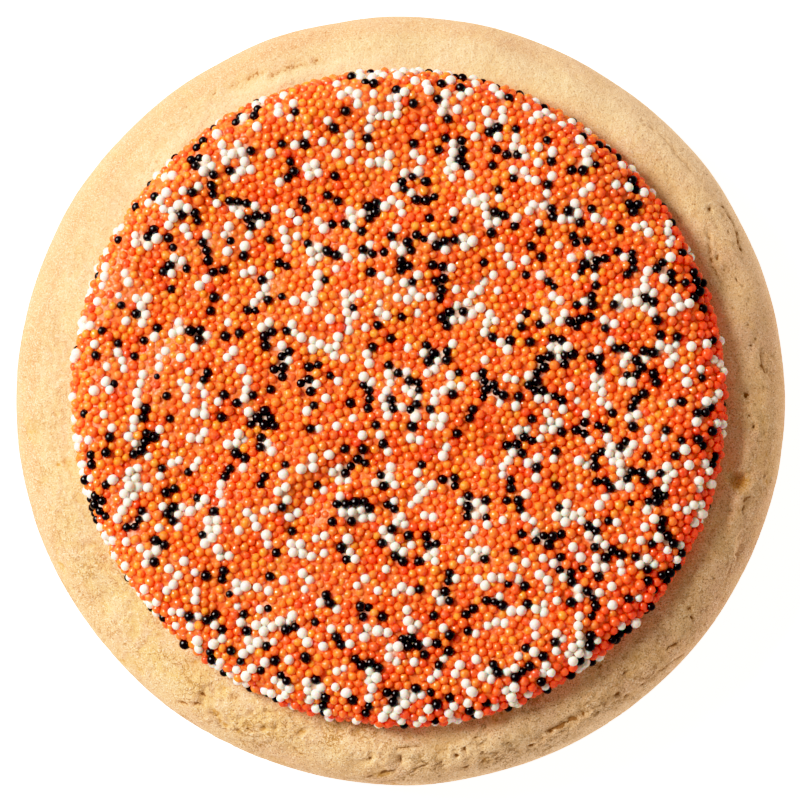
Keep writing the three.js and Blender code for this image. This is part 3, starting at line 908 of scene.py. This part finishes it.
def icing_slopes(spread):
    """The icing's two tangents and its normal at each place."""
    small = 0.01
    right, up = np.array([small, 0]), np.array([0, small])
    along_x = (icing_skin(spread + right) - icing_skin(spread - right)) / (2 * small)
    along_y = (icing_skin(spread + up) - icing_skin(spread - up)) / (2 * small)
    normal = np.cross(along_x, along_y)
    normal /= np.linalg.norm(normal, axis=1)[:, None]
    return along_x, along_y, normal


def film_section():
    """Radii of the film's rows on the icing spread flat, as a half section for the spin."""
    inner = ICING_RADIUS - ICING_SHOULDER - ICING_SHOULDER_SPREAD
    rows = list(np.linspace(0, inner, FILM_TOP_ROWS))
    rows += list(np.linspace(inner, FULL_REACH, FILM_WALL_ROWS + FILM_FOOT_ROWS + 1)[1:])
    return [(reach, 0) for reach in rows]


def film_level(points):
    """How far the film stands above its usual level, in patches, more on the left."""
    raised = smoothstep(0.1, 0.6, rough(points, FILM_PATCH, offset=7.0))
    left = 0.3 + 0.7 * smoothstep(20, -30, points[:, 0] - 0.5 * points[:, 1])
    full = np.zeros(len(points))
    for x, y, radius in FULL_PLACES:
        full += hill(np.hypot(points[:, 0] - x, points[:, 1] - y), radius)
    return FILM_RISE * np.maximum(raised * left, full) - FILM_SUNK


def make_film(beads):
    film = turned_solid("icing_film", film_section(), FILM_COLUMNS)
    mesh = film.data
    spread = read_points(mesh)[:, :2]
    points = icing_skin(spread)
    normal = icing_slopes(spread)[2]
    points += normal * film_level(points)[:, None]
    # The foot goes straight down into the cookie, which closes the film below.
    reach = np.hypot(spread[:, 0], spread[:, 1])
    points[reach > FULL_REACH - 0.05, 2] = COOKIE_HEIGHT - FILM_SEAT
    write_points(mesh, points)
    paint_attribute(mesh, "stain_and_glow", film_stain_and_glow(points, beads))
    close_underneath(film)
    mesh.materials.append(sugar_icing())
    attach(film, "root")
    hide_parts("icing")
    return film


def close_underneath(film):
    """Fills the film's open foot ring, so that the disc is a closed solid."""
    deselect_all()
    film.select_set(True)
    bpy.context.view_layer.objects.active = film
    bpy.ops.object.mode_set(mode="EDIT")
    bpy.ops.mesh.select_mode(type="EDGE")
    bpy.ops.mesh.select_all(action="DESELECT")
    bpy.ops.mesh.select_non_manifold()
    bpy.ops.mesh.edge_face_add()
    bpy.ops.mesh.select_all(action="SELECT")
    bpy.ops.mesh.normals_make_consistent(inside=False)
    bpy.ops.object.mode_set(mode="OBJECT")


# ---- Sprinkles --------------------------------------------------------------------------

def neighbour_pairs(points, within):
    """Every pair of places closer together than a distance."""
    tree = kdtree.KDTree(len(points))
    for i, point in enumerate(points.tolist()):
        tree.insert(point, i)
    tree.balance()
    pairs = []
    for i, point in enumerate(points.tolist()):
        pairs += [(i, j) for _, j, _ in tree.find_range(point, within) if j > i]
    return np.array(pairs)


def spread_evenly(draw):
    """Places on a golden-angle spiral by swept area, each moved a little at random."""
    reach = np.linspace(0, FULL_REACH, 2000)
    rows = icing_skin(np.column_stack([reach, np.zeros_like(reach)]))
    area = np.cumsum(np.hypot(rows[:, 0], rows[:, 1]))
    order = np.arange(SPRINKLE_COUNT) + 0.5
    at_reach = np.interp(order / SPRINKLE_COUNT * area[-1], area, reach)
    angle = order * GOLDEN_ANGLE
    places = np.column_stack([at_reach * np.cos(angle), at_reach * np.sin(angle)])
    return places + draw.normal(0, SPRINKLE_WANDER, places.shape)


def settle(places, radii, proud):
    """Rolls overlapping beads apart over the icing, and lifts those with no room."""
    lift = np.zeros(len(places))
    angle = np.arctan2(places[:, 1], places[:, 0])
    lowest = FULL_REACH - 0.1 - 0.15 * (1 + np.sin(7 * angle + 3 * np.sin(4 * angle)))
    for turn in range(SETTLING_ROUNDS):
        along_x, along_y, normal = icing_slopes(places)
        centres = icing_skin(places) + normal * (proud + lift)[:, None]
        if turn % 5 == 0:
            pairs = neighbour_pairs(centres, NEIGHBOUR_RANGE)
        a, b = pairs[:, 0], pairs[:, 1]
        between = centres[b] - centres[a]
        gap = np.maximum(np.linalg.norm(between, axis=1), 1e-6)
        overlap = np.maximum(CLOSEST_SHARE * (radii[a] + radii[b]) - gap, 0)
        push = between * (0.5 * overlap / gap)[:, None]
        moved = np.zeros_like(centres)
        np.add.at(moved, a, -push)
        np.add.at(moved, b, push)
        places = places + slide(moved, along_x, along_y)
        lift = 0.93 * (lift + 0.6 * np.sum(moved * normal, axis=1))
        lift = np.clip(lift, *LIFT_LIMITS)
        reach = np.hypot(places[:, 0], places[:, 1])
        places *= np.minimum(1, lowest / np.maximum(reach, 1))[:, None]
    normal = icing_slopes(places)[2]
    return icing_skin(places) + normal * (proud + lift)[:, None], normal


def slide(moved, along_x, along_y):
    """A push in space as a move over the icing spread flat."""
    xx = np.sum(along_x * along_x, axis=1)
    xy = np.sum(along_x * along_y, axis=1)
    yy = np.sum(along_y * along_y, axis=1)
    px = np.sum(moved * along_x, axis=1)
    py = np.sum(moved * along_y, axis=1)
    area = np.maximum(xx * yy - xy * xy, 1e-6)
    return np.column_stack([(yy * px - xy * py) / area, (xx * py - xy * px) / area])


def choose_kinds(centres, draw):
    """Every bead's kind: at random, with some neighbours alike. Black is a little
    thicker in the right half and above the middle, white along the left and lower edge."""
    x, y = centres[:, 0], centres[:, 1]
    radius = np.hypot(x, y)
    knot = hill(np.hypot(x - 4, y - 16), 12)
    black = BLACK_SHARE * (0.8 + 0.25 * smoothstep(-20, 15, x) + 0.25 * knot)
    left_edge = smoothstep(28, 40, radius) * smoothstep(10, -25, x + 0.4 * y)
    white = WHITE_SHARE * (0.98 + 0.25 * left_edge)
    kinds = np.full(len(centres), -1)
    tree = kdtree.KDTree(len(centres))
    for i, point in enumerate(centres.tolist()):
        tree.insert(point, i)
    tree.balance()
    for i in draw.permutation(len(centres)):
        chance, copied = draw.random(), draw.random()
        near = [j for _, j, _ in tree.find_n(centres[i], 4) if kinds[j] >= 0]
        if near and copied < SAME_AS_NEIGHBOUR:
            kinds[i] = kinds[near[0]]
        elif chance < black[i]:
            kinds[i] = BLACK
        else:
            kinds[i] = WHITE if chance < black[i] + white[i] else ORANGE
    return kinds


def scatter_beads():
    """Every sprinkle's middle, radius, normal, kind and tone, with painted shade on the wall."""
    draw = np.random.default_rng(SPRINKLE_SEED)
    places = spread_evenly(draw)
    kinds = choose_kinds(icing_skin(places), draw)
    sizes = draw.normal(1, SPRINKLE_SIZE_SPREAD, SPRINKLE_COUNT) * SPRINKLE_DIAMETER
    sizes *= np.where(kinds == ORANGE, ORANGE_SIZE, OTHERS_SIZE)
    radii = np.clip(sizes, SMALLEST_SPRINKLE, LARGEST_SPRINKLE) / 2
    proud = np.where(kinds == ORANGE, SPRINKLE_PROUD, OTHERS_PROUD)
    uneven = draw.normal(0, SPRINKLE_UNEVEN, SPRINKLE_COUNT)
    proud += np.clip(uneven, *SPRINKLE_UNEVEN_LIMITS)
    centres, normals = settle(places, radii, proud)
    slow = rough(centres, 6, offset=3.0)
    tone_and_shade = 0.5 + SHADE_DRIFT * slow + draw.normal(0, SHADE_SPREAD, SPRINKLE_COUNT)
    # Painted shade: beads on the icing's wall are deeper in colour, most on the lower right, away
    # from the lamp, and beads towards the lower right are a little deeper everywhere.
    lower_right = np.clip((0.87 * centres[:, 0] - 0.5 * centres[:, 1]) / 40, 0, 1)
    tone_and_shade += np.sqrt(1 - normals[:, 2]) * (0.1 + 1.5 * lower_right)
    tone_and_shade += 0.1 * np.maximum(centres[:, 0] - centres[:, 1], 0) / ICING_RADIUS
    return {"centre": centres, "radius": radii, "normal": normals, "kind": kinds,
            "tone_and_shade": tone_and_shade}


def film_stain_and_glow(points, beads):
    """How orange the film is: all round orange beads, little beside white and black.
    The orange is partly dye from the beads and partly painted light bounced between them.
    """
    tree = kdtree.KDTree(len(beads["centre"]))
    for i, centre in enumerate(beads["centre"].tolist()):
        tree.insert(centre, i)
    tree.balance()
    stain_and_glow = np.zeros(len(points))
    for i, point in enumerate(points.tolist()):
        near = tree.find_n(point, 4)
        weights = [1 / (0.2 + gap) for _, _, gap in near]
        orange = [w for w, (_, j, _) in zip(weights, near) if beads["kind"][j] == ORANGE]
        stain_and_glow[i] = sum(orange) / sum(weights)
    return smoothstep(0.15, 0.5, stain_and_glow)


def one_bead():
    """A single round bead, modelled once and copied for every sprinkle."""
    deselect_all()
    bpy.ops.mesh.primitive_ico_sphere_add(subdivisions=2, radius=MM)
    bead = bpy.context.object
    corners = read_points(bead.data)
    faces = np.array([face.vertices[:] for face in bead.data.polygons])
    bpy.data.objects.remove(bead)
    return corners * DRAWN_LARGER, faces


def turned_at_random(count, draw):
    """Random rotations, one matrix each."""
    q = draw.normal(size=(count, 4))
    q /= np.linalg.norm(q, axis=1)[:, None]
    w, x, y, z = q.T
    return np.array([
        [1 - 2 * (y * y + z * z), 2 * (x * y - z * w), 2 * (x * z + y * w)],
        [2 * (x * y + z * w), 1 - 2 * (x * x + z * z), 2 * (y * z - x * w)],
        [2 * (x * z - y * w), 2 * (y * z + x * w), 1 - 2 * (x * x + y * y)],
    ]).transpose(2, 0, 1)


def make_sprinkles(name, beads, chosen, material, seed):
    """One joined mesh of the chosen beads, each a little out of round."""
    corners, faces = one_bead()
    draw = np.random.default_rng(seed)
    count = len(chosen)
    stretch = 1 + draw.normal(0, OUT_OF_ROUND, (count, 3))
    oval = draw.random(count) < OVAL_SHARE
    stretch[oval, 0] *= draw.uniform(*OVAL_STRETCH, oval.sum())
    shaped = corners[None] * (stretch * beads["radius"][chosen, None])[:, None]
    shaped = np.einsum("nij,nvj->nvi", turned_at_random(count, draw), shaped)
    raised = np.einsum("nvi,ni->nv", shaped, beads["normal"][chosen])
    raised /= beads["radius"][chosen, None]
    points = (shaped + beads["centre"][chosen, None]).reshape(-1, 3)
    starts = np.arange(count)[:, None, None] * len(corners)
    mesh = bpy.data.meshes.new(name)
    mesh.from_pydata((points * MM).tolist(), [], (faces[None] + starts).reshape(-1, 3).tolist())
    piece = bpy.data.objects.new(name, mesh)
    bpy.context.scene.collection.objects.link(piece)
    mesh.shade_smooth()
    paint_attribute(mesh, "tone_and_shade", np.repeat(beads["tone_and_shade"][chosen], len(corners)))
    # Painted light: each bead's lower part, where it sinks towards the icing, takes a glow colour
    # that stands in for light scattered through the sugar and bounced between beads.
    paint_attribute(mesh, "sunk_glow", (SUNK_GLOW * smoothstep(0.85, 0.15, raised)).ravel())
    mesh.materials.append(material)
    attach(piece, "root")
    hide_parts("icing")
    return piece


def make_all_sprinkles(beads):
    orange = beads["kind"] == ORANGE
    middle = np.median(beads["tone_and_shade"][orange])
    deeper = beads["tone_and_shade"] > middle
    # Within each kind, the tone with its painted shade runs from 0, palest, to 1, deepest.
    palest = (middle - beads["tone_and_shade"]) / 0.6
    beads["tone_and_shade"] = np.where(deeper, (beads["tone_and_shade"] - middle) / 0.6,
                              1 - np.clip(palest, 0, 1) ** 1.2)
    shown = [orange & ~deeper, orange & deeper,
             beads["kind"] == WHITE, beads["kind"] == BLACK]
    for number, (name, coat) in enumerate(NONPAREILS.items()):
        chosen = np.flatnonzero(shown[number])
        make_sprinkles(name, beads, chosen, sugar_shell(*coat), SHAPE_SEED + number)


# ---- Floor, light and camera --------------------------------------------------------------

CAMERA_DISTANCE = 750
CAMERA_TILT = 3.0
CAMERA_LEAN = (0.46, -0.89)
OUTLINE_PIXELS = 768
IMAGE_PIXELS = 800
SENSOR_WIDTH = 36
LIGHT_BEARING = 156
LIGHT_ELEVATION = 41
LIGHT_DISTANCE = 900
LIGHT_SIZE = 400
LIGHT_POWER = 17.2
LIGHT_COLOUR = (1.0, 0.985, 0.96)
ROOM_COLOUR = (1.0, 0.875, 0.755, 1)
ROOM_STRENGTH = 0.36
# The floor's width in metres, and how brightly it glows.
FLOOR_WIDTH = 3
FLOOR_GLOW = 1.3
BLACK_POINT = (0.009, 0.008, 0.006)
WHITE_POINT = 1.6
SHOULDER = [(0.4, 0.4), (0.83, 0.72), (1.2, 0.9)]


def direction(bearing, elevation):
    b, e = math.radians(bearing), math.radians(elevation)
    return Vector((math.cos(e) * math.cos(b), math.cos(e) * math.sin(b), math.sin(e)))


def make_floor():
    deselect_all()
    bpy.ops.mesh.primitive_plane_add(size=FLOOR_WIDTH, location=(0, 0, -0.05 * MM))
    floor = bpy.context.object
    floor.name = "floor"
    material, tree, output = new_material("white_studio_floor")
    shader = add_node(tree, "ShaderNodeBsdfPrincipled", Base_Color="#f4f4f4", Roughness=0.9,
                      Emission_Color="#ffffff", Emission_Strength=FLOOR_GLOW)
    tree.links.new(shader, output.inputs[0])
    floor.data.materials.append(material)
    floor.visible_glossy = False


def make_lights():
    deselect_all()
    towards = direction(LIGHT_BEARING, LIGHT_ELEVATION)
    bpy.ops.object.light_add(type="AREA", location=towards * LIGHT_DISTANCE * MM)
    softbox = bpy.context.object
    softbox.name = "softbox"
    softbox.rotation_euler = towards.to_track_quat("Z", "Y").to_euler()
    softbox.data.shape = "SQUARE"
    softbox.data.size = LIGHT_SIZE * MM
    softbox.data.energy = LIGHT_POWER
    softbox.data.color = LIGHT_COLOUR
    world = bpy.context.scene.world or bpy.data.worlds.new("room")
    bpy.context.scene.world = world
    world.use_nodes = True
    room = world.node_tree.nodes["Background"]
    room.inputs["Color"].default_value = ROOM_COLOUR
    room.inputs["Strength"].default_value = ROOM_STRENGTH


def make_camera():
    deselect_all()
    lean = Vector(CAMERA_LEAN).normalized() * math.sin(math.radians(CAMERA_TILT))
    towards = Vector((lean.x, lean.y, math.cos(math.radians(CAMERA_TILT))))
    rightwards = Vector((0, 1, 0)).cross(towards).normalized()
    upwards = towards.cross(rightwards)
    target = Vector((0, 0, WIDEST_HEIGHT))
    bpy.ops.object.camera_add(location=(target + towards * CAMERA_DISTANCE) * MM)
    camera = bpy.context.object
    camera.name = "camera"
    turned = Matrix((rightwards, upwards, towards)).transposed()
    camera.rotation_euler = turned.to_euler()
    pixels = OUTLINE_PIXELS / 2 * CAMERA_DISTANCE / COOKIE_RADIUS
    camera.data.sensor_width = SENSOR_WIDTH
    camera.data.lens = pixels * SENSOR_WIDTH / IMAGE_PIXELS
    camera.data.clip_end = 10
    bpy.context.scene.camera = camera


def set_view():
    """A plain view with a slightly raised black point and softly held highlights, as in a
    cut-out product photo."""
    view = bpy.context.scene.view_settings
    view.view_transform = "Standard"
    view.use_curve_mapping = True
    view.curve_mapping.black_level = BLACK_POINT
    view.curve_mapping.white_level = (WHITE_POINT, WHITE_POINT, WHITE_POINT)
    for light, shown in SHOULDER:
        view.curve_mapping.curves[3].points.new(light / WHITE_POINT, shown)
    view.curve_mapping.update()


make_cookie()
beads = scatter_beads()
make_film(beads)
make_all_sprinkles(beads)
make_floor()
make_lights()
make_camera()
set_view()
